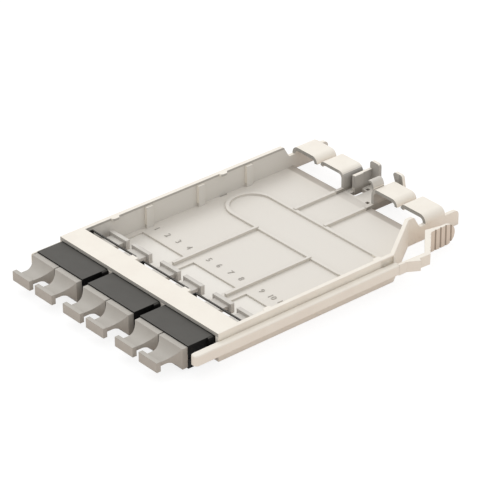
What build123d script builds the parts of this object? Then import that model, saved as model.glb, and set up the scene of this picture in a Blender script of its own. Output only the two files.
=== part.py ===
from build123d import *
import os

os.makedirs("parts", exist_ok=True)

# Millimetres. X runs across the module, Y from the front to the rear, Z up.
# The origin is on the flat underside, datum_depth behind the tray's front edge.
datum_depth = 52.0

# Clearances
hinge_gap = 0.1
socket_gap = 0.35
sleeve_gap = 0.05

# Adapter: four ports on each side, in two duplex mouths
adapter_count = 3
adapter_spacing = 3.11
adapter_shift = -0.56
adapter_wall = 0.9
adapter_rear_step = 0.47
adapter_height = 9.0
adapter_nose = 11.17
adapter_tail = 13.35
shoulder_length = 2.7
shoulder_step = 0.7
shoulder_radius = 1.2
port_pitch = 6.25
port_width = 4.85
port_height = 6.9
mouth_divider = 1.8
mouth_height = 7.4
mouth_depth = 4.0
bulkhead = 1.6
holder_diameter = 3.4
holder_reach = 6.0
sleeve_diameter = 1.7
sleeve_bore = 1.25
sleeve_length = 11.4
bore_sides = 12
window_length = 2.5
tail_rim = 1.25
side_notch_height = 2.1
side_notch_depth = 1.5

# Dust caps
cap_spacing = 0.5
cap_margin = 0.5
cap_land = 2.33
cap_scoop = 5.0
cap_waist = 3.25
cap_waist_width = 7.2
cap_waist_height = 1.5
cap_bar = 1.7
cap_bar_width = 9.7
cap_bar_height = 3.75
plug_depth = 3.6
prong_length = 1.9
rear_cap_inset = 2.4
rear_cap_land = 1.55
rear_cap_scoop = 4.0

# Tray
tray_length = 127.0
wall = 1.5
wall_lip_height = 0.6
wall_lip_reach = 0.2
adapter_side_gap = 0.86
floor_thickness = 1.45
sill_thickness = 0.7
sill_length = 9.0
strap_thickness = 1.35
strap_length = 9.93
web_length = 11.4
web_gap = 0.4
floor_front = 22.4
low_wall_height = 6.1
wall_drop_run = 2.9
wall_drop_radius = 1.1
tail_corner_radius = 1.9

# Places along the tray, measured back from its rear end
rear_opening = 17.7
neck_inset = 14.6
neck_length = 25.3
slanted_wall = 20.9
low_wall_length = 22.6
post_setback = 20.6
guide_setback = 16.8
slot_setback = 16.0
spine_setback = 14.0
hole_setback = 9.0
plate_setback = 5.0
pill_setback = 50.0

# Raised and sunk forms of the floor
ridge_height = 0.8
ridge_width = 1.5
pill_span = 56.4
pill_radius = 8.6
divider_start = 27.8
divider_width = 1.0
divider_height = 1.2
recess_depth = 0.7
recess_rear = 34.6
recess_width = 23.2
recess_shift = 0.9

# Wall ribs and cover nubs
wall_rib_length = 3.0
wall_rib_depth = 1.3
wall_rib_drop = 1.0
wall_rib_starts = (37.3, 61.9, 85.2)
nub_length = 3.5
nub_reach = 1.4
nub_height = 0.9
nub_corner = 1.2
nub_front = 23.5
nub_setback = 6.4

# Side rails
rail_width = 3.3
rail_height = 3.8
rail_bottom = 4.6
rail_nose = 12.6
rail_nose_radius = 1.4
rail_chamfer = 0.35
rail_groove_width = 0.6
rail_groove_depth = 0.5
pocket_length = 6.2
pocket_bottom = 6.9
pocket_top = 10.5
pocket_depth = 0.8

# Rear guides
guide_length = 9.8
guide_top = 9.35
guide_corner = 1.6
channel_width = 26.05
post_thickness = 1.3
tip_spacing = 1.85
tip_offset = 0.8
outer_lip_run = 3.5
outer_lip_drop = 2.5
inner_lip_run = 2.0
inner_lip_drop = 2.3
lip_radius = 2.4
curl_thickness = 0.9
curl_length = 5.3
curl_rise = 2.6
curl_run = 3.0
curl_lean = 1.0
curl_tip_drop = 0.52
plate_thickness = 1.3
plate_height = 11.05
plate_width = 4.9
left_plate_offset = 2.2
spine_width = 1.2
spine_height = 8.0
slot_width = 2.9
slot_length = 5.6
hole_size = 1.4
hole_offset = 3.4

# Latch
latch_bottom = 4.2
latch_top = 8.4
arm_thickness = 1.1
tooth_root = 3.2
tooth_run = 7.6
tooth_reach = 2.65
tooth_width = 1.5
arm_length = 13.3
arm_end_offset = 1.45
elbow_run = 11.1
pad_thickness = 1.1
pad_root_thickness = 2.1
pad_length = 11.8
grip_pitch = 2.3
grip_depth = 0.4
pad_grip_pitch = 2.57

# Derived sizes
mouth_width = port_pitch + port_width
duplex_pitch = mouth_width + mouth_divider
adapter_width = duplex_pitch + mouth_width + 2 * adapter_wall
adapter_rear_width = adapter_width - 2 * adapter_rear_step
adapter_pitch = adapter_width + adapter_spacing
row_middle = (adapter_count - 1) / 2
half_width = row_middle * adapter_pitch + adapter_rear_width / 2 + adapter_side_gap + wall
tray_width = 2 * half_width
inner_half = half_width - wall
neck_x = half_width - neck_inset
adapter_bottom = sill_thickness
adapter_top = adapter_bottom + adapter_height
tray_height = adapter_top + strap_thickness
port_level = adapter_bottom + adapter_height / 2
adapter_middle = (adapter_tail - adapter_nose) / 2
web_width = adapter_pitch - adapter_rear_width - 2 * web_gap
adapter_xs = [adapter_shift + (i - row_middle) * adapter_pitch for i in range(adapter_count)]
web_xs = [x + adapter_pitch / 2 for x in adapter_xs[:-1]]
cap_xs = [x + side * duplex_pitch / 2 for x in adapter_xs for side in (-1, 1)]
port_offsets = [
    mouth * duplex_pitch / 2 + port * port_pitch / 2 for mouth in (-1, 1) for port in (-1, 1)
]
plug_width = mouth_width - 2 * socket_gap
plug_height = mouth_height - 2 * socket_gap
floor_rear = tray_length - rear_opening
neck_start = tray_length - neck_length
straight_wall = neck_start - slanted_wall
nub_centres = (nub_front, straight_wall - nub_setback)
wall_drop_start = tray_length - low_wall_length
pill_centre = tray_length - pill_setback
post_start = tray_length - post_setback
guide_front = tray_length - guide_setback
slot_start = tray_length - slot_setback
spine_start = tray_length - spine_setback
hole_start = tray_length - hole_setback
plate_start = tray_length - plate_setback
plate_end = plate_start + plate_thickness
post_2_x = -inner_half + channel_width + post_thickness / 2
post_3_x = neck_x - wall - channel_width - post_thickness / 2
guide_line = guide_top - wall / 2
tip_run = (channel_width + (post_thickness + wall) / 2 - tip_spacing) / 2
hinge_x = half_width + rail_width - arm_thickness / 2
hinge_y = straight_wall

# Datum planes, each with its origin above or below the tray's front edge
plan = Plane(origin=(0, -datum_depth, 0))
side = Plane(origin=(0, -datum_depth, 0), x_dir=(0, 1, 0), z_dir=(1, 0, 0))
front = Plane(origin=(0, -datum_depth, 0), x_dir=(1, 0, 0), z_dir=(0, -1, 0))


def save(part, label, shift=0.0):
    piece = part.moved(Location((shift, 0, 0)))
    piece.label = label
    export_step(piece, f"parts/{label}.step")


def tray_outline(front_end, rear_end):
    return [
        (-half_width, front_end),
        (half_width, front_end),
        (half_width, straight_wall),
        (neck_x, neck_start),
        (neck_x, rear_end),
        (-half_width, rear_end),
    ]


def wall_profile(start, top):
    # Side view of what lies above a wall that drops to the low rear part.
    drop_end = wall_drop_start + wall_drop_run
    with BuildLine() as line:
        path = FilletPolyline(
            (start, top),
            (wall_drop_start, top),
            (drop_end, low_wall_height),
            (tray_length, low_wall_height),
            (tray_length, 0),
            radius=[wall_drop_radius, wall_drop_radius, tail_corner_radius],
        )
        Polyline(path @ 1, (tray_length + wall, 0), (tray_length + wall, top + wall),
                 (start, top + wall), path @ 0)
    return line.line


# Tray: floor, walls, strap and sill that hold the adapters, and the two side rails
with BuildPart() as tray:
    with BuildSketch(plan):
        with BuildLine():
            Polyline(*tray_outline(0, tray_length), close=True)
        make_face()
    extrude(amount=tray_height)
    with BuildSketch(plan.offset(floor_thickness)):
        with BuildLine():
            Polyline(*tray_outline(-2 * wall, tray_length + 2 * wall), close=True)
        make_face()
        offset(amount=-wall, kind=Kind.INTERSECTION)
    extrude(amount=tray_height, mode=Mode.SUBTRACT)
    # Thin lip along the top of the two walls, on the inside
    with BuildSketch(plan.offset(tray_height - wall_lip_height)):
        with Locations((-inner_half, 0)):
            Rectangle(wall_lip_reach, tray_length, align=(Align.MIN, Align.MIN))
        with Locations((inner_half, 0)):
            Rectangle(wall_lip_reach, straight_wall, align=(Align.MAX, Align.MIN))
    extrude(amount=wall_lip_height)
    # The floor is open below the adapters and between the rear walls.
    with BuildSketch(plan):
        with Locations((0, (floor_front - wall) / 2)):
            Rectangle(2 * inner_half, floor_front + wall)
        with BuildLine():
            Polyline(
                (-inner_half, floor_rear),
                (neck_x - wall, floor_rear),
                (neck_x - wall, tray_length + wall),
                (-inner_half, tray_length + wall),
                close=True,
            )
        make_face()
    extrude(amount=floor_thickness, mode=Mode.SUBTRACT)
    with BuildSketch(side):
        add(wall_profile(wall_drop_start - 2 * wall_drop_radius, tray_height))
        make_face()
    extrude(amount=tray_width, both=True, mode=Mode.SUBTRACT)
    with BuildSketch(plan):
        Rectangle(tray_width, sill_length, align=(Align.CENTER, Align.MIN))
    extrude(amount=sill_thickness)
    with BuildSketch(plan.offset(adapter_top)):
        Rectangle(tray_width, strap_length, align=(Align.CENTER, Align.MIN))
    extrude(amount=strap_thickness)
    with BuildSketch(plan):
        with Locations(*[(x, 0) for x in web_xs]):
            Rectangle(web_width, web_length, align=(Align.CENTER, Align.MIN))
    extrude(amount=tray_height)
    # Pill-shaped ridge, and the dividers that run from the adapters and rear posts to it
    with BuildSketch(plan.offset(floor_thickness)):
        with Locations((0, pill_centre)):
            SlotCenterToCenter(pill_span, 2 * (pill_radius + ridge_width))
            SlotCenterToCenter(pill_span, 2 * pill_radius, mode=Mode.SUBTRACT)
    extrude(amount=ridge_height)
    pill_front = pill_centre - pill_radius - ridge_width / 2
    pill_rear = pill_centre + pill_radius + ridge_width / 2
    with BuildSketch(plan.offset(floor_thickness)):
        with Locations(*[(x, divider_start) for x in (-adapter_pitch / 2, adapter_pitch / 2)]):
            Rectangle(
                divider_width, pill_front - divider_start, align=(Align.CENTER, Align.MIN)
            )
        with Locations((post_2_x, pill_rear), (post_3_x, pill_rear)):
            Rectangle(post_thickness, post_start - pill_rear, align=(Align.CENTER, Align.MIN))
    extrude(amount=divider_height)
    # Sunk panels behind the adapters
    with BuildSketch(plan.offset(floor_thickness)):
        with Locations(*[(x + recess_shift, floor_front) for x in adapter_xs]):
            Rectangle(recess_width, recess_rear - floor_front, align=(Align.CENTER, Align.MIN))
    extrude(amount=-recess_depth, mode=Mode.SUBTRACT)
    # Ribs inside the long wall
    with BuildSketch(plan.offset(floor_thickness)):
        with Locations(*[(-inner_half, y) for y in wall_rib_starts]):
            Rectangle(wall_rib_depth, wall_rib_length, align=(Align.MIN, Align.MIN))
    extrude(amount=tray_height - floor_thickness - wall_rib_drop)
    # Half-round nubs at the top of the walls, under which a cover snaps
    nub_places = [(x, y) for x in (-inner_half, inner_half) for y in nub_centres]
    with BuildSketch(plan.offset(tray_height - nub_height)) as nubs:
        with Locations(*nub_places):
            Rectangle(2 * nub_reach, nub_length)
        fillet(nubs.vertices(), radius=nub_corner)
    extrude(amount=nub_height)
    # Below each nub the floor has a core hole, so that the mould can form the nub.
    with BuildSketch(plan):
        with Locations(*[(x - x / inner_half * nub_reach / 2, y) for x, y in nub_places]):
            Rectangle(nub_reach, nub_length)
    extrude(amount=floor_thickness, mode=Mode.SUBTRACT)
    # Rails, rounded at the nose, with a groove along the foot of the wall
    for rail_side in (-1, 1):
        with BuildSketch(plan.offset(rail_bottom)) as rail:
            with Locations((rail_side * (half_width + rail_width / 2), -rail_nose)):
                Rectangle(rail_width, rail_nose + straight_wall, align=(Align.CENTER, Align.MIN))
            fillet(rail.vertices().group_by(Axis.Y)[0], radius=rail_nose_radius)
        extrude(amount=rail_height)
    rail_edges = tray.edges().filter_by(Axis.Y).filter_by(
        lambda e: abs(abs(e.center().X) - half_width - rail_width) < 0.01
    )
    chamfer(rail_edges.group_by(Axis.Z)[-1], length=rail_chamfer)
    with BuildSketch(plan.offset(rail_bottom + rail_height)):
        for rail_side in (-1, 1):
            groove_x = rail_side * (half_width + rail_groove_width / 2)
            with Locations((groove_x, -rail_groove_width)):
                Rectangle(
                    rail_groove_width,
                    straight_wall - pocket_length + rail_groove_width,
                    align=(Align.CENTER, Align.MIN),
                )
    extrude(amount=-rail_groove_depth, mode=Mode.SUBTRACT)
    # Pocket beside the root of the latch, and the seat that the root turns in
    with BuildSketch(plan.offset(pocket_bottom)):
        with Locations((half_width - pocket_depth, straight_wall - pocket_length)):
            Rectangle(2 * pocket_depth, pocket_length, align=(Align.MIN, Align.MIN))
    extrude(amount=pocket_top - pocket_bottom, mode=Mode.SUBTRACT)
    with BuildSketch(plan):
        with Locations((hinge_x, hinge_y)):
            Circle(arm_thickness / 2 + hinge_gap)
    extrude(amount=tray_height, mode=Mode.SUBTRACT)
save(tray.part, "tray")


# Rear frame between the two guide channels: posts, middle floor, spine and plates
left_plate_start = post_2_x + left_plate_offset
with BuildPart() as rear_frame:
    with BuildSketch(plan):
        with Locations(((post_2_x + post_3_x) / 2, floor_rear)):
            Rectangle(
                post_3_x - post_2_x + post_thickness,
                plate_end - floor_rear,
                align=(Align.CENTER, Align.MIN),
            )
    extrude(amount=floor_thickness)
    for post_x in (post_2_x, post_3_x):
        with BuildSketch(side.offset(post_x)):
            with BuildLine():
                post_rise = FilletPolyline(
                    (post_start, floor_thickness),
                    (post_start + wall_drop_run / 2, low_wall_height),
                    (plate_end, low_wall_height),
                    (plate_end, 0),
                    radius=[wall_drop_radius, tail_corner_radius],
                )
                Polyline(
                    post_rise @ 1, (floor_rear, 0), (floor_rear, floor_thickness), post_rise @ 0
                )
            make_face()
        extrude(amount=post_thickness / 2, both=True)
    with BuildSketch(plan):
        with Locations((left_plate_start, spine_start)):
            Rectangle(spine_width, plate_end - spine_start, align=(Align.MIN, Align.MIN))
    extrude(amount=spine_height)
    with BuildSketch(front.offset(-plate_start)) as plates:
        with Locations((left_plate_start, 0), (post_3_x, 0)):
            Rectangle(plate_width, plate_height, align=(Align.MIN, Align.MIN))
        fillet(plates.vertices().group_by(Axis.Z)[-1], radius=plate_thickness)
    extrude(amount=-plate_thickness)
    with BuildSketch(plan):
        with Locations((left_plate_start + spine_width, slot_start)):
            Rectangle(slot_width, slot_length, align=(Align.MIN, Align.MIN))
        with Locations(
            (post_3_x - hole_offset, slot_start), (left_plate_start + hole_offset, hole_start)
        ):
            Rectangle(hole_size, hole_size)
    extrude(amount=floor_thickness, mode=Mode.SUBTRACT)
save(rear_frame.part, "rear_frame")


def guide_hook(foot_x, direction, thickness, run, lip_run, lip_drop):
    # A leg, a flat top and a rolled lip that slopes down over the channel.
    bend = guide_corner - thickness / 2
    with BuildPart() as hook:
        with BuildSketch(front.offset(-guide_front)):
            with BuildLine():
                FilletPolyline(
                    (foot_x, low_wall_height),
                    (foot_x, guide_line),
                    (foot_x + direction * (run - lip_run), guide_line),
                    (foot_x + direction * run, guide_line + wall / 2 - lip_drop),
                    radius=[bend, lip_radius],
                )
            trace(line_width=thickness)
        extrude(amount=-guide_length)
    return hook.part


# Each pair reaches over one channel: the outer hook's lip is the longer one.
outer_lip = (tip_run + tip_offset, outer_lip_run, outer_lip_drop)
inner_lip = (tip_run - tip_offset, inner_lip_run, inner_lip_drop)
save(guide_hook(-half_width + wall / 2, 1, wall, *outer_lip), "guide_hook_1")
save(guide_hook(post_2_x, -1, post_thickness, *inner_lip), "guide_hook_2")
save(guide_hook(neck_x - wall / 2, -1, wall, *inner_lip), "guide_hook_4")

# The third hook also carries a finger that curls up and over the middle channel.
with BuildPart() as guide_hook_3:
    add(guide_hook(post_3_x, 1, post_thickness, *outer_lip))
    with BuildSketch(front.offset(-guide_front)):
        with BuildLine():
            FilletPolyline(
                (post_3_x, guide_line - curl_thickness / 2),
                (post_3_x - curl_lean, guide_top + curl_rise),
                (post_3_x - curl_run, guide_top + curl_rise - curl_tip_drop),
                radius=curl_thickness,
            )
        trace(line_width=curl_thickness)
    extrude(amount=-curl_length)
save(guide_hook_3.part, "guide_hook_3")


# Latch: a springy arm with a tooth, an elbow and a ribbed finger pad
arm_outer = half_width + rail_width
arm_inner = arm_outer - arm_thickness
tooth_start = straight_wall + tooth_root
tooth_tip = straight_wall + tooth_run
arm_end = straight_wall + arm_length
elbow_outer = arm_outer + arm_end_offset
pad_outer_x = elbow_outer - elbow_run
pad_start = arm_end + elbow_run
pad_end = pad_start + pad_length
elbow_shift = pad_root_thickness / 2**0.5
pad_round = latch_top / 2
with BuildPart() as latch:
    with BuildSketch(plan):
        with BuildLine():
            Polyline(
                (arm_outer, hinge_y),
                (arm_outer, tooth_start),
                (arm_outer + tooth_reach, tooth_tip),
                (arm_outer + tooth_reach - tooth_width, tooth_tip + tooth_width / 2),
                (elbow_outer, arm_end),
                (pad_outer_x, pad_start),
                (pad_outer_x, pad_end),
                (pad_outer_x - pad_thickness, pad_end),
                (pad_outer_x - pad_thickness, pad_start + pad_length / 2),
                (pad_outer_x - elbow_shift - pad_thickness, pad_start - elbow_shift / 2),
                (elbow_outer - pad_root_thickness, arm_end - elbow_shift / 2),
                (arm_inner, tooth_start),
                (arm_inner, hinge_y),
                close=True,
            )
        make_face()
        with Locations((hinge_x, hinge_y)):
            Circle(arm_thickness / 2)
    extrude(amount=latch_top)
    with BuildSketch(side):
        with BuildLine():
            Polyline(
                (pad_end - pad_round, latch_top),
                (hinge_y - arm_thickness, latch_top),
                (hinge_y - arm_thickness, latch_bottom),
                (pad_start, latch_bottom),
                (pad_start, 0),
                (pad_end - pad_round, 0),
            )
            ThreePointArc(
                (pad_end - pad_round, 0), (pad_end, pad_round), (pad_end - pad_round, latch_top)
            )
        make_face()
    extrude(amount=tray_width, mode=Mode.INTERSECT)
    # Grip grooves on the elbow and on the pad, cut as notches with a square turned by 45 degrees
    with BuildSketch(plan):
        for step in (1, 2, 5, 6):
            run = step * grip_pitch / 2**0.5
            with Locations((elbow_outer - run, arm_end + run)):
                RegularPolygon(grip_depth, 4, rotation=45)
        for step in range(1, 5):
            with Locations((pad_outer_x, pad_start + step * pad_grip_pitch - grip_depth)):
                RegularPolygon(grip_depth, 4)
    extrude(amount=latch_top, mode=Mode.SUBTRACT)
save(latch.part, "latch")


# Adapter shells: front and rear halves meet at the middle of the port bores
def port_sockets(rim, direction):
    # Duplex mouths, then one socket for each port down to the bulkhead
    floor_at = adapter_middle - direction * bulkhead / 2
    depth = abs(floor_at - rim)
    rim_plane = front.offset(-rim)
    mouths = [(side_sign * duplex_pitch / 2, port_level) for side_sign in (-1, 1)]
    with BuildPart() as sockets:
        with BuildSketch(rim_plane):
            with Locations(*mouths):
                Rectangle(mouth_width, mouth_height)
        extrude(amount=-direction * mouth_depth)
        with BuildSketch(rim_plane):
            with Locations(*[(x, port_level) for x in port_offsets]):
                Rectangle(port_width, port_height)
        extrude(amount=-direction * depth)
        with BuildSketch(front.offset(-adapter_middle)):
            with Locations(*[(x, port_level) for x in port_offsets]):
                RegularPolygon(holder_diameter / 2, bore_sides)
        extrude(amount=direction * holder_reach, mode=Mode.SUBTRACT)
    return sockets.part


def sleeve_bores():
    with BuildPart() as bores:
        with BuildSketch(front.offset(-adapter_middle)):
            with Locations(*[(x, port_level) for x in port_offsets]):
                RegularPolygon(sleeve_diameter / 2 + sleeve_gap, bore_sides)
        extrude(amount=2 * holder_reach, both=True)
    return bores.part


with BuildPart() as adapter_front:
    with BuildSketch(plan.offset(adapter_bottom)):
        with Locations((0, -adapter_nose)):
            Rectangle(adapter_width, adapter_nose, align=(Align.CENTER, Align.MIN))
        Rectangle(adapter_rear_width, adapter_middle, align=(Align.CENTER, Align.MIN))
    extrude(amount=adapter_height)
    with BuildSketch(front) as shoulder:
        with Locations((0, port_level)):
            Rectangle(adapter_width + 2 * shoulder_step, adapter_height)
        fillet(shoulder.vertices(), radius=shoulder_radius)
    extrude(amount=shoulder_length)
    with BuildSketch(side.offset(-adapter_width)):
        with Locations((-adapter_nose, port_level)):
            Rectangle(
                side_notch_depth, side_notch_height, align=(Align.MIN, Align.CENTER)
            )
    notch_depth = (adapter_width - duplex_pitch - mouth_width) / 4
    extrude(amount=adapter_width / 2 + notch_depth, mode=Mode.SUBTRACT)
    with BuildSketch(side.offset(adapter_width)):
        with Locations((-adapter_nose, port_level)):
            Rectangle(
                side_notch_depth, side_notch_height, align=(Align.MIN, Align.CENTER)
            )
    extrude(amount=-adapter_width / 2 - notch_depth, mode=Mode.SUBTRACT)
    add(port_sockets(-adapter_nose, 1), mode=Mode.SUBTRACT)
    add(sleeve_bores(), mode=Mode.SUBTRACT)

with BuildPart() as adapter_rear:
    with BuildSketch(plan.offset(adapter_bottom)):
        with Locations((0, adapter_middle)):
            Rectangle(
                adapter_rear_width, adapter_tail - adapter_middle, align=(Align.CENTER, Align.MIN)
            )
    extrude(amount=adapter_height)
    add(port_sockets(adapter_tail, -1), mode=Mode.SUBTRACT)
    add(sleeve_bores(), mode=Mode.SUBTRACT)
    # Window across both mouths, open above and below
    with BuildSketch(plan.offset(adapter_bottom)):
        with Locations((0, adapter_tail - tail_rim - window_length)):
            Rectangle(duplex_pitch + mouth_width, window_length, align=(Align.CENTER, Align.MIN))
    extrude(amount=adapter_height, mode=Mode.SUBTRACT)

with BuildPart() as sleeve:
    with BuildSketch(front.offset(-adapter_middle)):
        with Locations((0, port_level)):
            RegularPolygon(sleeve_diameter / 2, bore_sides)
            RegularPolygon(sleeve_bore / 2, bore_sides, mode=Mode.SUBTRACT)
    extrude(amount=sleeve_length / 2, both=True)

for number, x in enumerate(adapter_xs, 1):
    save(adapter_front.part, f"adapter_front_{number}", x)
    save(adapter_rear.part, f"adapter_rear_{number}", x)
for number, x in enumerate([x + port for x in adapter_xs for port in port_offsets], 1):
    save(sleeve.part, f"sleeve_{number}", x)


def dust_cap(rim, direction, width, height, plug, land, scoop):
    # The side view and the plan view of the handle, each extruded, meet in one solid.
    scoop_start = rim + direction * land
    waist_start = scoop_start + direction * scoop
    bar_start = waist_start + direction * cap_waist
    bar_end = bar_start + direction * cap_bar

    def half_view(half, waist_half, bar_half, level, sign):
        Polyline(
            (rim, level), (rim, level + sign * half), (scoop_start, level + sign * half)
        )
        TangentArc(
            (waist_start, level + sign * waist_half),
            (scoop_start, level + sign * half),
            tangent=(-direction, 0),
        )
        Polyline(
            (waist_start, level + sign * waist_half),
            (bar_start, level + sign * waist_half),
            (bar_start, level + sign * bar_half),
            (bar_end, level + sign * bar_half),
            (bar_end, level),
        )

    with BuildPart() as cap:
        with BuildSketch(side):
            with BuildLine():
                half_view(height / 2, cap_waist_height / 2, cap_bar_height / 2, port_level, 1)
                half_view(height / 2, cap_waist_height / 2, cap_bar_height / 2, port_level, -1)
            make_face()
        extrude(amount=width / 2, both=True)
        plan_view = Plane(origin=(0, -datum_depth, 0), x_dir=(0, 1, 0), z_dir=(0, 0, 1))
        with BuildSketch(plan_view):
            with BuildLine():
                half_view(width / 2, cap_waist_width / 2, cap_bar_width / 2, 0, 1)
                half_view(width / 2, cap_waist_width / 2, cap_bar_width / 2, 0, -1)
            make_face()
        extrude(amount=tray_height, mode=Mode.INTERSECT)
        # Plug in the mouth and a prong in each port
        with BuildSketch(front.offset(-rim)):
            with Locations((0, port_level)):
                Rectangle(plug_width, plug_height)
        extrude(amount=direction * plug)
        with BuildSketch(front.offset(-rim)):
            with Locations((-port_pitch / 2, port_level), (port_pitch / 2, port_level)):
                Rectangle(port_width - 2 * socket_gap, port_height - 2 * socket_gap)
        extrude(amount=direction * (plug + prong_length))
    return cap.part


# The front caps cover the adapter's face, the rear ones are sunk in its mouths.
front_cap = dust_cap(
    -adapter_nose,
    -1,
    duplex_pitch - cap_spacing,
    adapter_height - 2 * cap_margin,
    plug_depth,
    cap_land,
    cap_scoop,
)
rear_cap = dust_cap(
    adapter_tail - rear_cap_inset,
    1,
    plug_width,
    plug_height,
    plug_depth - rear_cap_inset,
    rear_cap_land,
    rear_cap_scoop,
)
for number, x in enumerate(cap_xs, 1):
    save(front_cap, f"front_cap_{number}", x)
    save(rear_cap, f"rear_cap_{number}", x)
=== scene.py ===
import math

import bmesh
import bpy
from mathutils import Matrix, Vector


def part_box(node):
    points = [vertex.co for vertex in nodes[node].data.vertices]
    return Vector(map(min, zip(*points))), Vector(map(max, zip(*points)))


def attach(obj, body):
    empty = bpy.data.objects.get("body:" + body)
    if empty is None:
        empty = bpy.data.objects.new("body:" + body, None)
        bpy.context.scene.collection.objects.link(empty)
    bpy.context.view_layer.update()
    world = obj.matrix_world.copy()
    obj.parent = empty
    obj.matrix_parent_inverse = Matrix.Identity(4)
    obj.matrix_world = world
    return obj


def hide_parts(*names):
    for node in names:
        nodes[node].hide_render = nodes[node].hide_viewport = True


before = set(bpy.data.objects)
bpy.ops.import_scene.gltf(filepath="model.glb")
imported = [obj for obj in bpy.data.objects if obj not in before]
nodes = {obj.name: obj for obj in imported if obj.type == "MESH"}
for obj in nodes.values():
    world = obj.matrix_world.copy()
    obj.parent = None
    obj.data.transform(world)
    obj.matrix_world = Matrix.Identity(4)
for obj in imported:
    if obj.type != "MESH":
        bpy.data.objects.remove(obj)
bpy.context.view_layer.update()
print("frame loaded:", len(nodes), "nodes")

mm = 0.001
datum = 52.0 * mm  # the tray's front edge is this far ahead of the origin
weldGap = 1e-7  # corners closer than this become one


class Signal:
    # one socket of a node tree, so that masks can be written as sums and products
    def __init__(self, board, socket):
        self.board = board
        self.socket = socket

    def math(self, operation, *others):
        return self.board.add("ShaderNodeMath", {"operation": operation}, [self, *others])

    def __add__(self, other):
        return self.math("ADD", other)

    def __sub__(self, other):
        return self.math("SUBTRACT", other)

    def __mul__(self, other):
        return self.math("MULTIPLY", other)

    def __rsub__(self, other):
        return self.board.add("ShaderNodeMath", {"operation": "SUBTRACT"}, [other, self])

    __radd__ = __add__
    __rmul__ = __mul__

    def between(self, low, high):
        # 0 below low, 1 above high, smooth in between
        settings = {"interpolation_type": "SMOOTHSTEP", "clamp": True}
        inputs = {"Value": self, "From Min": low, "From Max": high}
        return self.board.add("ShaderNodeMapRange", settings, inputs)


class Board:
    # one material's or world's node tree
    def __init__(self, owner):
        owner.use_nodes = True
        self.tree = owner.node_tree
        self.tree.nodes.clear()

    def node(self, kind, settings=None, inputs=None):
        made = self.tree.nodes.new(kind)
        for key, value in (settings or {}).items():
            setattr(made, key, value)
        pairs = inputs.items() if isinstance(inputs, dict) else enumerate(inputs or [])
        for key, value in pairs:
            if isinstance(value, Signal):
                self.tree.links.new(value.socket, made.inputs[key])
            else:
                made.inputs[key].default_value = value
        return made

    def add(self, kind, settings=None, inputs=None, output=0):
        return Signal(self, self.node(kind, settings, inputs).outputs[output])


def rgb(red, green, blue):
    # screen colour 0 to 255 as a linear colour
    linear = []
    for value in (red / 255, green / 255, blue / 255):
        linear.append(value / 12.92 if value <= 0.04045 else ((value + 0.055) / 1.055) ** 2.4)
    return (*linear, 1)


creamLook = {
    "colour": rgb(246, 240, 229),
    "shade": rgb(243, 236, 225),
    "floor": rgb(228, 223, 215),
    "recess": rgb(238, 234, 227),
    "ridge": rgb(216, 211, 202),  # painted shade on the low upright faces of the floor's ridges and dividers
    "longWall": rgb(218, 214, 207),  # painted shade on the inner face of the left wall
    # painted shade: the colour that creases and the strip under the wall's lip are darkened towards
    "paintedShade": rgb(92, 84, 74),
    "crease": 0.1,
    "creaseReach": 4 * mm,
    "nook": rgb(180, 176, 170),  # painted shade on the upright faces between the two channels at the rear
    # painted shade on the hooks' front faces and on the strap's front face
    "hookEdge": rgb(160, 157, 151),
    "strapEdge": rgb(188, 184, 176),
    # painted shade on the latch pad's upright faces, and darker still in its grip grooves
    "pad": rgb(228, 215, 200),
    "grip": rgb(178, 164, 150),
    "shaded": rgb(172, 164, 155),  # the floor's last strip, under the hooks
    # painted shadow where the post meets the floor
    "postFoot": rgb(122, 117, 110),
    "neckStep": 15 * mm,  # how far the right wall steps in where it is cut back
    "mottle": 9 * mm,
    "grain": 0.32 * mm,
    "grainDepth": 0.006 * mm,
    "rough": (0.42, 0.56),
    "edge": 0.16 * mm,
    "gloss": 0.3,
}
adapterLook = {
    "colour": rgb(84, 82, 78),
    "shade": rgb(81, 79, 75),
    "side": rgb(16, 15, 15),  # painted shade on upright faces, with the tops painted lighter as a sheen
    "strapShadowStart": (-52.65 * mm, -52.35 * mm),  # painted shadow: a dark line on the tops where they meet the strap
    "strapShadowEnd": (-51.9 * mm, -51.7 * mm),
    "strapShadowShare": 0.9,
    # painted shade colour for creases
    "paintedShade": rgb(6, 6, 6),
    "crease": 0.3,
    "creaseReach": 6 * mm,
    "mottle": 6 * mm,
    "grain": 0.25 * mm,
    "grainDepth": 0.006 * mm,
    "rough": (0.48, 0.58),
    "edge": 0.12 * mm,
    "gloss": 0.2,
}
frontCapLook = {
    "colour": rgb(186, 181, 173),
    "shade": rgb(182, 177, 169),
    # painted shade colour for creases
    "paintedShade": rgb(70, 62, 54),
    "crease": 0.3,
    "creaseReach": 6 * mm,
    "mottle": 5 * mm,
    "grain": 0.28 * mm,
    "grainDepth": 0.005 * mm,
    "rough": (0.4, 0.52),
    "edge": 0.2 * mm,
    "gloss": 0.25,
}
rearCapLook = {
    "colour": rgb(216, 212, 205),
    "shade": rgb(212, 207, 200),
    "sunk": rgb(172, 167, 160),  # painted shade on the part inside the mouth
    "mouthEdge": (12.6 * mm - datum, 12.6 * mm - datum + 1.5 * mm),
    # painted shade colour for creases
    "paintedShade": rgb(70, 62, 54),
    "crease": 0.3,
    "creaseReach": 6 * mm,
    "mottle": 5 * mm,
    "grain": 0.28 * mm,
    "grainDepth": 0.005 * mm,
    "rough": (0.4, 0.52),
    "edge": 0.2 * mm,
    "gloss": 0.25,
}
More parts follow.
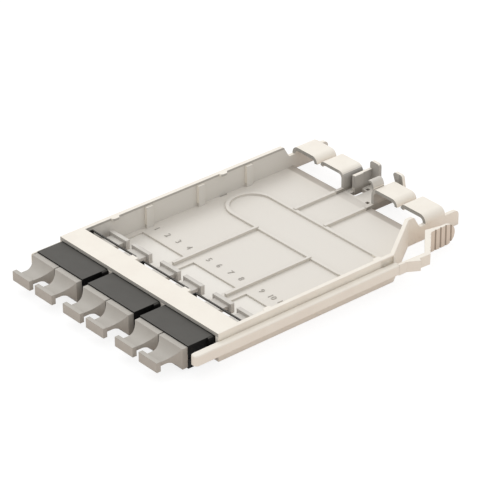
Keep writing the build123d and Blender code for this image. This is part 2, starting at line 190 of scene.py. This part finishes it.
ceramicLook = {
    "colour": rgb(244, 243, 238),
    "shade": rgb(238, 236, 230),
    # painted shade colour for creases
    "paintedShade": rgb(70, 62, 54),
    "crease": 0.3,
    "creaseReach": 6 * mm,
    "mottle": 2 * mm,
    "grain": 0.1 * mm,
    "grainDepth": 0.001 * mm,
    "rough": (0.12, 0.2),
    "edge": 0.05 * mm,
    "gloss": 0.4,
}
numberLook = {
    # painted shade: the numbers are coloured darker than the floor, for the shade on their relief
    "colour": rgb(188, 183, 175),
    "shade": rgb(182, 177, 169),
    # painted shade colour for creases
    "paintedShade": rgb(70, 62, 54),
    "crease": 0.3,
    "creaseReach": 6 * mm,
    "mottle": 2 * mm,
    "grain": 0.2 * mm,
    "grainDepth": 0.003 * mm,
    "rough": (0.45, 0.55),
    "edge": 0.05 * mm,
    "gloss": 0.4,
}


def mixColour(board, factor, first, second):
    # sockets 6 and 7 are the two colours of a Mix node
    inputs = {0: factor, 6: first, 7: second}
    return board.add("ShaderNodeMix", {"data_type": "RGBA"}, inputs, output=2)


surfaceDetail = {
    "mottleEdge": (0.3, 0.7),
    "facingEdge": (0.5, 0.8),  # how far a face has to turn to count as facing one way
    "bumpStrength": 0.5,
    "samples": 6,
}
trayZones = {
    # soft edges of the tray's zones as (start, end) in millimetres of the part's frame
    "footing": (0.2, 0.4),
    "lowTop": (2.8, 3.0),
    "wallWest": (-42.6, -42.4),
    "wallEast": (42.4, 42.6),
    "neckStart": (27.9, 28.1),
    "longWallFace": (-40.8, -40.6),
    "underLip": (9.8, 10.4),
    "rearStart": (57, 58),
    "hookTop": (8.6, 9.2),
    "hookEnd": (68.2, 69),
    "middleWest": (-18, -16.8),
    "middleEast": (1.6, 2.4),
    "curlFoot": (9.3, 9.6),
    "curlEnd": (64, 65),
    "hookEdgeFoot": (6, 6.4),
    "hookEdgeEast": (30, 31),
    "strapFoot": (9.5, 9.7),
    "strapFront": (-51.9, -51.7),
    "padWest": (34.4, 34.6),
    "padStart": (52, 52.4),
    "recessTop": (1.0, 1.1),
    "postFootTop": (2.4, 3.4),
    "postFootStart": (54.2, 55),
    "shadedStart": (53.8, 54.8),
    "shadedEnd": (58, 58.1),
}
trayShares = {
    # how strongly some of the painted shade zones show
    "underLip": 0.4,
    "grip": 1.8,
    "curl": 0.6,
    "postFoot": 0.7,
    "nookCrease": 0.3,
    "shaded": 0.65,
    "shadedMiddle": 0.4,
}


def past(signal, zone):
    # 0 before the zone's edge and 1 past it
    start, end = trayZones[zone]
    return signal.between(start * mm, end * mm)


def trayTones(board, look, colour, place, facing):
    # painted shade and shadow on the tray's zones; returns the colour and how strongly the painted
    # crease shade shows
    spot = board.node("ShaderNodeSeparateXYZ", None, [place])
    across, along, height = (Signal(board, spot.outputs[axis]) for axis in range(3))
    upward = Signal(board, facing.outputs[2]).between(*surfaceDetail["facingEdge"])
    eastward = Signal(board, facing.outputs[0]).between(*surfaceDetail["facingEdge"])
    frontward = (0 - Signal(board, facing.outputs[1])).between(*surfaceDetail["facingEdge"])
    low = past(height, "footing") * (1 - past(height, "lowTop"))
    narrowed = across + past(along, "neckStart") * look["neckStep"]
    inside = past(across, "wallWest") * (1 - past(narrowed, "wallEast"))
    longWall = eastward * inside * (1 - past(across, "longWallFace"))
    rear = past(along, "rearStart") * past(height, "footing")
    hookTop = past(height, "hookTop") * (1 - past(along, "hookEnd"))
    middle = past(across, "middleWest") * (1 - past(across, "middleEast"))
    nook = middle * rear * (1 - upward) * (1 - hookTop)
    curl = middle * past(height, "curlFoot") * rear * (1 - past(along, "curlEnd"))
    hookEdge = frontward * past(height, "hookEdgeFoot") * rear * (1 - past(across, "hookEdgeEast"))
    strapEdge = frontward * past(height, "strapFoot") * (1 - past(along, "strapFront"))
    pad = past(across, "padWest") * past(along, "padStart") * (1 - upward)
    postFoot = eastward * middle * (1 - past(height, "postFootTop")) * past(along, "postFootStart")
    shaded = upward * low * past(along, "shadedStart") * (1 - past(along, "shadedEnd"))
    shaded = shaded * (trayShares["shaded"] - middle * trayShares["shadedMiddle"])
    tones = [
        # painted one over the other, in this order; the tones before the floor, and the last one,
        # are painted shade and shadow
        (pad, "pad"),
        (pad * eastward * frontward * trayShares["grip"], "grip"),
        (strapEdge, "strapEdge"),
        (nook + curl * trayShares["curl"], "nook"),
        (hookEdge * (1 - nook), "hookEdge"),
        (longWall, "longWall"),
        # painted shade under the left wall's lip
        (longWall * past(height, "underLip") * trayShares["underLip"], "paintedShade"),
        (low * inside * (1 - upward) * (1 - longWall), "ridge"),
        (postFoot * trayShares["postFoot"], "postFoot"),
        (low * upward, "floor"),
        (upward * low * (1 - past(height, "recessTop")), "recess"),
        (shaded, "shaded"),
    ]
    for mask, tone in tones:
        colour = mixColour(board, mask, colour, look[tone])
    return colour, nook * trayShares["nookCrease"] + look["crease"]


def mouldedPlastic(name, look):
    # moulded plastic: faint flow mottling, spark-eroded grain, softened edges and painted shade in
    # creases
    material = bpy.data.materials.new(name)
    board = Board(material)
    samples = {"samples": surfaceDetail["samples"]}
    place = board.add("ShaderNodeTexCoord", output="Object")
    flow = board.add(
        "ShaderNodeTexNoise", None,
        {"Vector": place, "Scale": 1 / look["mottle"], "Detail": 3.0, "Roughness": 0.55},
    )
    grain = board.add(
        "ShaderNodeTexNoise", None,
        {"Vector": place, "Scale": 1 / look["grain"], "Detail": 2.0, "Roughness": 0.6},
    )
    mottle = flow.between(*surfaceDetail["mottleEdge"])
    colour = mixColour(board, mottle, look["colour"], look["shade"])
    normal = board.add("ShaderNodeNewGeometry", output="Normal")
    facing = board.node("ShaderNodeSeparateXYZ", None, [normal])
    crease = look["crease"]
    if "floor" in look:
        colour, crease = trayTones(board, look, colour, place, facing)
    if "sunk" in look:
        # painted shade inside the mouth
        along = board.add("ShaderNodeSeparateXYZ", None, [place], output=1)
        colour = mixColour(board, 1 - along.between(*look["mouthEdge"]), colour, look["sunk"])
    if "side" in look:
        # painted shade on upright faces and a painted shadow along the strap
        upward = Signal(board, facing.outputs[2]).between(*surfaceDetail["facingEdge"])
        along = board.add("ShaderNodeSeparateXYZ", None, [place], output=1)
        strapShadow = along.between(*look["strapShadowStart"]) * (1 - along.between(*look["strapShadowEnd"]))
        colour = mixColour(board, 1 - upward, colour, look["side"])
        colour = mixColour(board, strapShadow * look["strapShadowShare"], colour, look["side"])
    # painted shade: darker where the AO node finds surfaces close by
    clear = board.add(
        "ShaderNodeAmbientOcclusion", samples, {"Distance": look["creaseReach"]}, output="AO"
    )
    colour = mixColour(board, (1 - clear) * crease, colour, look["paintedShade"])
    rough = grain * (look["rough"][1] - look["rough"][0]) + look["rough"][0]
    soft = board.add("ShaderNodeBevel", samples, {"Radius": look["edge"]})
    bump = board.add(
        "ShaderNodeBump", None,
        {
            "Strength": surfaceDetail["bumpStrength"], "Distance": look["grainDepth"],
            "Height": grain, "Normal": soft,
        },
    )
    shader = board.add(
        "ShaderNodeBsdfPrincipled", None,
        {
            "Base Color": colour, "Roughness": rough, "Normal": bump,
            "Specular IOR Level": look["gloss"],
        },
    )
    board.node("ShaderNodeOutputMaterial", None, {"Surface": shader})
    return material


trayCream = mouldedPlastic("trayCream", creamLook)
adapterGrey = mouldedPlastic("adapterGrey", adapterLook)
frontCapGrey = mouldedPlastic("frontCapGrey", frontCapLook)
rearCapGrey = mouldedPlastic("rearCapGrey", rearCapLook)
sleeveCeramic = mouldedPlastic("sleeveCeramic", ceramicLook)
numberGrey = mouldedPlastic("numberGrey", numberLook)
print("finishes made")

finishes = {
    "tray": trayCream,
    "rear_frame": trayCream,
    "latch": trayCream,
    "guide_hook": trayCream,
    "adapter": adapterGrey,
    "front_cap": frontCapGrey,
    "rear_cap": rearCapGrey,
    "sleeve": sleeveCeramic,
}
for name, piece in nodes.items():
    finish = next(finishes[key] for key in finishes if name.startswith(key))
    piece.data.materials.clear()
    piece.data.materials.append(finish)
print("packed pieces painted")


def newPiece(name, shape, finish, flat=True):
    # a finished object at the origin, with flat faces unless told otherwise
    if flat:
        for face in shape.faces:
            face.smooth = False
    mesh = bpy.data.meshes.new(name)
    shape.to_mesh(mesh)
    shape.free()
    mesh.materials.append(finish)
    piece = bpy.data.objects.new(name, mesh)
    bpy.context.scene.collection.objects.link(piece)
    return piece


def copyNodes(names):
    # the CAD nodes' own meshes, merged into one closed shape each
    shape = bmesh.new()
    for name in names:
        shape.from_mesh(nodes[name].data)
    bmesh.ops.remove_doubles(shape, verts=shape.verts, dist=weldGap)
    return shape


def plainMesh(piece):
    # what the object's modifiers make of it, as a mesh
    bpy.context.view_layer.update()
    evaluated = piece.evaluated_get(bpy.context.evaluated_depsgraph_get())
    return bpy.data.meshes.new_from_object(evaluated)


boxSides = ((3, 2, 1, 0), (4, 5, 6, 7), (0, 1, 5, 4), (1, 2, 6, 5), (2, 3, 7, 6), (3, 0, 4, 7))


def addBoxes(shape, boxes):
    # each box is (west, east, front, rear, bottom, top)
    for west, east, front, rear, bottom, top in boxes:
        ring = ((west, front), (east, front), (east, rear), (west, rear))
        corners = [shape.verts.new((x, y, z)) for z in (bottom, top) for x, y in ring]
        for side in boxSides:
            shape.faces.new([corners[index] for index in side])


def cutPiece(name, shape, boxes, finish):
    # the shape with boxes taken out of it
    cutters = bmesh.new()
    addBoxes(cutters, boxes)
    knife = newPiece("knife", cutters, finish)
    piece = newPiece(name, shape, finish)
    cut = piece.modifiers.new("cut", "BOOLEAN")
    cut.operation, cut.solver, cut.use_self, cut.object = "DIFFERENCE", "EXACT", True, knife
    finished = plainMesh(piece)
    piece.modifiers.clear()
    piece.data = finished
    bpy.data.objects.remove(knife)
    return piece


guideHooks = {
    "nodes": ["guide_hook_1", "guide_hook_2", "guide_hook_3", "guide_hook_4"],
    "front": 110.2 * mm - datum,
    "depth": 9.8 * mm,
    "foot": 6.1 * mm,
    "line": 8.6 * mm,
    "outerLip": {"run": 12.5 * mm, "reach": 0.2 * mm, "tip": 6.55 * mm, "bend": 2.1 * mm},
    "innerLip": {"run": 11.7 * mm, "reach": 0.3 * mm, "tip": 7.2 * mm, "bend": 1.3 * mm},
    "hooks": [
        # foot, way the lip points, thickness, lip
        (-42.95 * mm, 1, 1.5 * mm, "outerLip"),
        (-15.5 * mm, -1, 1.3 * mm, "innerLip"),
        (0.9 * mm, 1, 1.3 * mm, "outerLip"),
        (28.35 * mm, -1, 1.5 * mm, "innerLip"),
    ],
    "corner": 2.2 * mm,
    "bendSteps": 7,
    "curl": [(0.9, 8.3), (0.9, 9.7), (0.0, 11.7), (-1.4, 11.2)],  # across and up, in millimetres
    "curlDepth": 5.3 * mm,
    "curlThickness": 0.9 * mm,
    "curlBend": 1.1 * mm,
}


bandPoints = ("Foot", "Corner", "Fold", "Tip")


def makeBandTree(finish, bendSteps):
    # bends a flat band along four points, with a rounded corner at the second and third
    tree = bpy.data.node_groups.new("bentBand", "GeometryNodeTree")
    face = tree.interface
    face.new_socket("Geometry", in_out="INPUT", socket_type="NodeSocketGeometry")
    for label in bandPoints:
        face.new_socket(label, in_out="INPUT", socket_type="NodeSocketVector")
    for label in ("Corner Radius", "Fold Radius", "Thickness", "Depth"):
        face.new_socket(label, in_out="INPUT", socket_type="NodeSocketFloat")
    face.new_socket("Geometry", in_out="OUTPUT", socket_type="NodeSocketGeometry")
    given = tree.nodes.new("NodeGroupInput")
    result = tree.nodes.new("NodeGroupOutput")

    def step(kind, settings, inputs):
        made = tree.nodes.new(kind)
        for key, value in settings.items():
            setattr(made, key, value)
        if kind == "GeometryNodeIndexSwitch":
            while len(made.index_switch_items) < len(bandPoints):
                made.index_switch_items.new()
        for key, value in inputs.items():
            if isinstance(value, bpy.types.NodeSocket):
                tree.links.new(value, made.inputs[key])
            else:
                made.inputs[key].default_value = value
        return made.outputs[0]

    index = step("GeometryNodeInputIndex", {}, {})
    points = {0: index}
    for place, label in enumerate(bandPoints, 1):
        points[place] = given.outputs[label]
    spot = step("GeometryNodeIndexSwitch", {"data_type": "VECTOR"}, points)
    radii = {0: index, 2: given.outputs["Corner Radius"], 3: given.outputs["Fold Radius"]}
    radius = step("GeometryNodeIndexSwitch", {"data_type": "FLOAT"}, radii)
    line = step("GeometryNodeMeshLine", {}, {"Count": len(bandPoints)})
    bent = step("GeometryNodeSetPosition", {}, {"Geometry": line, "Position": spot})
    path = step("GeometryNodeMeshToCurve", {}, {"Mesh": bent})
    fillet = {"Curve": path, "Count": bendSteps, "Radius": radius, "Limit Radius": True}
    rounded = step("GeometryNodeFilletCurve", {"mode": "POLY"}, fillet)
    strip = step(
        "GeometryNodeCurvePrimitiveQuadrilateral", {},
        {"Width": given.outputs["Thickness"], "Height": given.outputs["Depth"]},
    )
    band = step(
        "GeometryNodeCurveToMesh", {}, {"Curve": rounded, "Profile Curve": strip, "Fill Caps": True}
    )
    real = step("GeometryNodeRealizeInstances", {}, {"Geometry": band})
    painted = step("GeometryNodeSetMaterial", {}, {"Geometry": real, "Material": finish})
    tree.links.new(painted, result.inputs[0])
    return tree


def bendBand(tree, merged, sizes):
    # one run of the tree, added to the merged shape
    holder = bpy.data.objects.new("band", bpy.data.meshes.new("band"))
    bpy.context.scene.collection.objects.link(holder)
    bend = holder.modifiers.new("band", "NODES")
    bend.node_group = tree
    for item in tree.interface.items_tree:
        if item.name in sizes and item.in_out == "INPUT":
            bend[item.identifier] = sizes[item.name]
    plain = plainMesh(holder)
    merged.from_mesh(plain)
    bpy.data.objects.remove(holder)
    bpy.data.meshes.remove(plain)


def makeGuideHooks(sizes):
    # The real lips curve down in one sweep over the channels.
    tree = makeBandTree(trayCream, sizes["bendSteps"])
    merged = bmesh.new()
    middle = sizes["front"] + sizes["depth"] / 2
    for foot, way, thickness, lipName in sizes["hooks"]:
        lip = sizes[lipName]
        bendBand(tree, merged, {
            "Foot": (foot, middle, sizes["foot"]),
            "Corner": (foot, middle, sizes["line"]),
            "Fold": (foot + way * (lip["run"] - lip["reach"]), middle, sizes["line"]),
            "Tip": (foot + way * lip["run"], middle, lip["tip"]),
            "Corner Radius": sizes["corner"],
            "Fold Radius": lip["bend"],
            "Thickness": thickness,
            "Depth": sizes["depth"],
        })
    curlMiddle = sizes["front"] + sizes["curlDepth"] / 2
    curl = {
        label: (x * mm, curlMiddle, z * mm)
        for label, (x, z) in zip(bandPoints, sizes["curl"])
    }
    curl |= {"Corner Radius": sizes["curlBend"], "Fold Radius": sizes["curlBend"]}
    curl |= {"Thickness": sizes["curlThickness"], "Depth": sizes["curlDepth"]}
    bendBand(tree, merged, curl)
    bmesh.ops.remove_doubles(merged, verts=merged.verts, dist=weldGap)
    bmesh.ops.recalc_face_normals(merged, faces=merged.faces)
    return newPiece("guideHooks", merged, trayCream)


hookPiece = makeGuideHooks(guideHooks)
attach(hookPiece, "module")
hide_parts(*guideHooks["nodes"])
print("guide hooks bent")

rearFrame = {
    # boxes as (west, east, front, rear, bottom, top)
    "rise": (-20 * mm, 6 * mm, 103 * mm - datum, 110.2 * mm - datum, 2.65 * mm, 7 * mm),
    "spinePad": (-13 * mm, -11.8 * mm, 61.05 * mm, 65.4 * mm, 0.02 * mm, 7.97 * mm),
    "plateFront": 69.9 * mm,
    "plateFoot": 6.5 * mm,
    "plateSides": (0.8 * mm, 6.0 * mm),
    "plateMove": Vector((-1.6 * mm, 0, 0.4 * mm)),
}


def makeRearFrame(sizes):
    # The real posts stand flush with the hooks, the spine has a thicker front end,
    # and the right plate is set a little further left.
    body = copyNodes(["rear_frame"])
    left, right = sizes["plateSides"]
    for corner in body.verts:
        x, y, z = corner.co
        if z > sizes["plateFoot"] and y > sizes["plateFront"] and left < x < right:
            corner.co += sizes["plateMove"]
    addBoxes(body, [sizes["spinePad"]])
    return cutPiece("rearFrame", body, [sizes["rise"]], trayCream)


rearFramePiece = makeRearFrame(rearFrame)
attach(rearFramePiece, "module")
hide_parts("rear_frame")
print("rear frame made")

leftRail = {
    "wall": -43.7 * mm,
    "share": 0.25,  # how much of the drawn width shows on the real left rail
    "holeSide": -40.8 * mm,
    "holeNear": 0.05 * mm,
    "holeMoved": -41.6 * mm,  # the core hole shows narrower in the floor
    "floorTop": 1.5 * mm,
}


def makeTray(sizes):
    # The real left rail is much slimmer than the right one.
    body = copyNodes(["tray"])
    for corner in body.verts:
        if corner.co.x < sizes["wall"]:
            corner.co.x = sizes["wall"] + (corner.co.x - sizes["wall"]) * sizes["share"]
        beside = abs(corner.co.x - sizes["holeSide"]) < sizes["holeNear"]
        if beside and corner.co.y > 0 and corner.co.z < sizes["floorTop"]:
            corner.co.x = sizes["holeMoved"]
    return newPiece("trayMoulding", body, trayCream)


trayMoulding = makeTray(leftRail)
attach(trayMoulding, "module")
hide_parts("tray")
print("tray made")

rearShell = {
    "nodes": ["adapter_rear_1", "adapter_rear_2", "adapter_rear_3"],
    "mouthHalf": 12.0 * mm,
    "mouthFloor": 1.52 * mm,
    "barUnder": 9.3 * mm - 0.1 * mm,
    "rimUnder": 9.3 * mm,
    "rimTop": 9.9 * mm,
    "windowFront": 9.62 * mm - datum,
    "rimFront": 12.75 * mm - datum,
    "tail": 13.5 * mm - datum,
}


def makeRearShells(sizes):
    # The real shell has only a thin bar behind its window, so the ground shows between the caps.
    boxes = []
    for name in sizes["nodes"]:
        low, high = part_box(name)
        middle = (low[0] + high[0]) / 2
        sides = (middle - sizes["mouthHalf"], middle + sizes["mouthHalf"])
        window = (sizes["windowFront"], sizes["rimFront"], sizes["barUnder"], sizes["rimTop"])
        mouth = (sizes["windowFront"], sizes["tail"], sizes["mouthFloor"], sizes["rimUnder"])
        boxes += [sides + window, sides + mouth]
    return cutPiece("adapterRears", copyNodes(sizes["nodes"]), boxes, adapterGrey)


adapterRears = makeRearShells(rearShell)
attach(adapterRears, "module")
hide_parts(*rearShell["nodes"])
print("rear shells made")

portNumbers = {
    "height": 2.6 * mm,
    "fontScale": 1.35,  # font size for one unit of digit height
    "curveSteps": 3,
    "relief": 0.22 * mm,
    "thinning": -0.03 * mm,
    "level": 1.45 * mm,
    "line": 39.8 * mm - datum,
    # across the tray, in millimetres
    "places": [-38.4, -32.1, -26.1, -20.1, -8.9, -3.3, 3.0, 8.8, 19.9, 25.4, 30.5, 36.4],
}


def makeNumbers(sizes):
    # the port numbers, raised a little from the floor
    merged = bmesh.new()
    for number, place in enumerate(sizes["places"], 1):
        text = bpy.data.curves.new("digits", "FONT")
        text.body = str(number)
        text.align_x = "CENTER"
        text.align_y = "CENTER"
        text.size = sizes["height"] * sizes["fontScale"]
        text.extrude = sizes["relief"]
        text.offset = sizes["thinning"]
        text.resolution_u = sizes["curveSteps"]
        holder = bpy.data.objects.new("digits", text)
        bpy.context.scene.collection.objects.link(holder)
        plain = bpy.data.meshes.new_from_object(holder)
        plain.transform(Matrix.Translation((place * mm, sizes["line"], sizes["level"])))
        merged.from_mesh(plain)
        bpy.data.objects.remove(holder)
        bpy.data.meshes.remove(plain)
    bmesh.ops.remove_doubles(merged, verts=merged.verts, dist=weldGap)
    return newPiece("portNumbers", merged, numberGrey, flat=False)


portNumberMesh = makeNumbers(portNumbers)
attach(portNumberMesh, "module")
print("port numbers made")

cameraPlace = {
    "place": (679.43 * mm, -529.43 * mm - datum, 523.68 * mm),
    "azimuth": 49.467,
    "elevation": 30.123,
    "roll": -0.208,
    "lens": 208.37,
    "sensor": 36,
    "clip": (0.05, 20),
}


def makeCamera(sizes):
    # the camera fitted to the photograph
    az, el, roll = (math.radians(sizes[key]) for key in ("azimuth", "elevation", "roll"))
    back = Vector((math.sin(az) * math.cos(el), -math.cos(az) * math.cos(el), math.sin(el)))
    right = Vector((math.cos(az), math.sin(az), 0))
    up = back.cross(right)
    rightTurned = right * math.cos(roll) + up * math.sin(roll)
    upTurned = up * math.cos(roll) - right * math.sin(roll)
    data = bpy.data.cameras.new("camera")
    data.lens = sizes["lens"]
    data.sensor_width = sizes["sensor"]
    data.clip_start, data.clip_end = sizes["clip"]
    camera = bpy.data.objects.new("camera", data)
    turn = Matrix((rightTurned, upTurned, back)).transposed().to_4x4()
    camera.matrix_world = Matrix.Translation(sizes["place"]) @ turn
    bpy.context.scene.collection.objects.link(camera)
    bpy.context.scene.camera = camera


makeCamera(cameraPlace)


studio = {
    "keyLamp": {"place": (-1.0, 0.3, 1.25), "target": (0, 0, 0), "size": 0.9, "power": 6.8},
    "skyOnObject": 0.81,
    "skySeen": 1.0,
    "floorOnObject": (0.80, 0.69, 0.62, 1),  # warm light thrown back from the ground
    "floorSeen": (0.24, 0.24, 0.24, 1),  # takes the object's shadow, on top of the glow
    "floorGlow": 0.83,
    "floorHalf": 6.0,
    "floorLevel": -0.02 * mm,
    "white": (1, 1, 1, 1),
}


def areaLamp(name, place, target, size, power):
    # a square lamp turned towards its target
    data = bpy.data.lights.new(name, "AREA")
    data.shape = "SQUARE"
    data.size = size
    data.energy = power
    lamp = bpy.data.objects.new(name, data)
    aim = (Vector(target) - Vector(place)).normalized()
    turn = aim.to_track_quat("-Z", "Y").to_matrix().to_4x4()
    lamp.matrix_world = Matrix.Translation(place) @ turn
    bpy.context.scene.collection.objects.link(lamp)


def seenMask(board):
    # 1 for what the camera, reflections and clear materials show, 0 for light on the object
    rays = board.node("ShaderNodeLightPath")
    kinds = ("Is Camera Ray", "Is Glossy Ray", "Is Transmission Ray")
    seen, mirrored, through = (Signal(board, rays.outputs[kind]) for kind in kinds)
    return seen.math("MAXIMUM", mirrored).math("MAXIMUM", through)


def makeSky(values):
    # white where it is seen, a little dimmer where it lights the object
    world = bpy.data.worlds.new("studio")
    bpy.context.scene.world = world
    board = Board(world)
    white = values["white"]
    dimSky, whiteSky = (
        board.add("ShaderNodeBackground", None, {"Color": white, "Strength": values[strength]})
        for strength in ("skyOnObject", "skySeen")
    )
    sky = board.add("ShaderNodeMixShader", None, [seenMask(board), dimSky, whiteSky])
    board.node("ShaderNodeOutputWorld", None, {"Surface": sky})


def makeFloor(values):
    # a white ground with a faint shadow, which lights the object from below
    material = bpy.data.materials.new("floorWhite")
    board = Board(material)
    pale = board.add("ShaderNodeBsdfDiffuse", None, {"Color": values["floorOnObject"]})
    shadowed = board.add("ShaderNodeBsdfDiffuse", None, {"Color": values["floorSeen"]})
    glow = board.add(
        "ShaderNodeEmission", None, {"Color": values["white"], "Strength": values["floorGlow"]}
    )
    lit = board.add("ShaderNodeAddShader", None, [shadowed, glow])
    surface = board.add("ShaderNodeMixShader", None, [seenMask(board), pale, lit])
    board.node("ShaderNodeOutputMaterial", None, {"Surface": surface})
    shape = bmesh.new()
    bmesh.ops.create_grid(shape, x_segments=1, y_segments=1, size=values["floorHalf"])
    bmesh.ops.translate(shape, verts=shape.verts, vec=(0, 0, values["floorLevel"]))
    return newPiece("floor", shape, material)


areaLamp("keyLamp", **studio["keyLamp"])
makeSky(studio)
floor = makeFloor(studio)

bpy.context.scene.view_settings.view_transform = "Standard"
print("studio made")
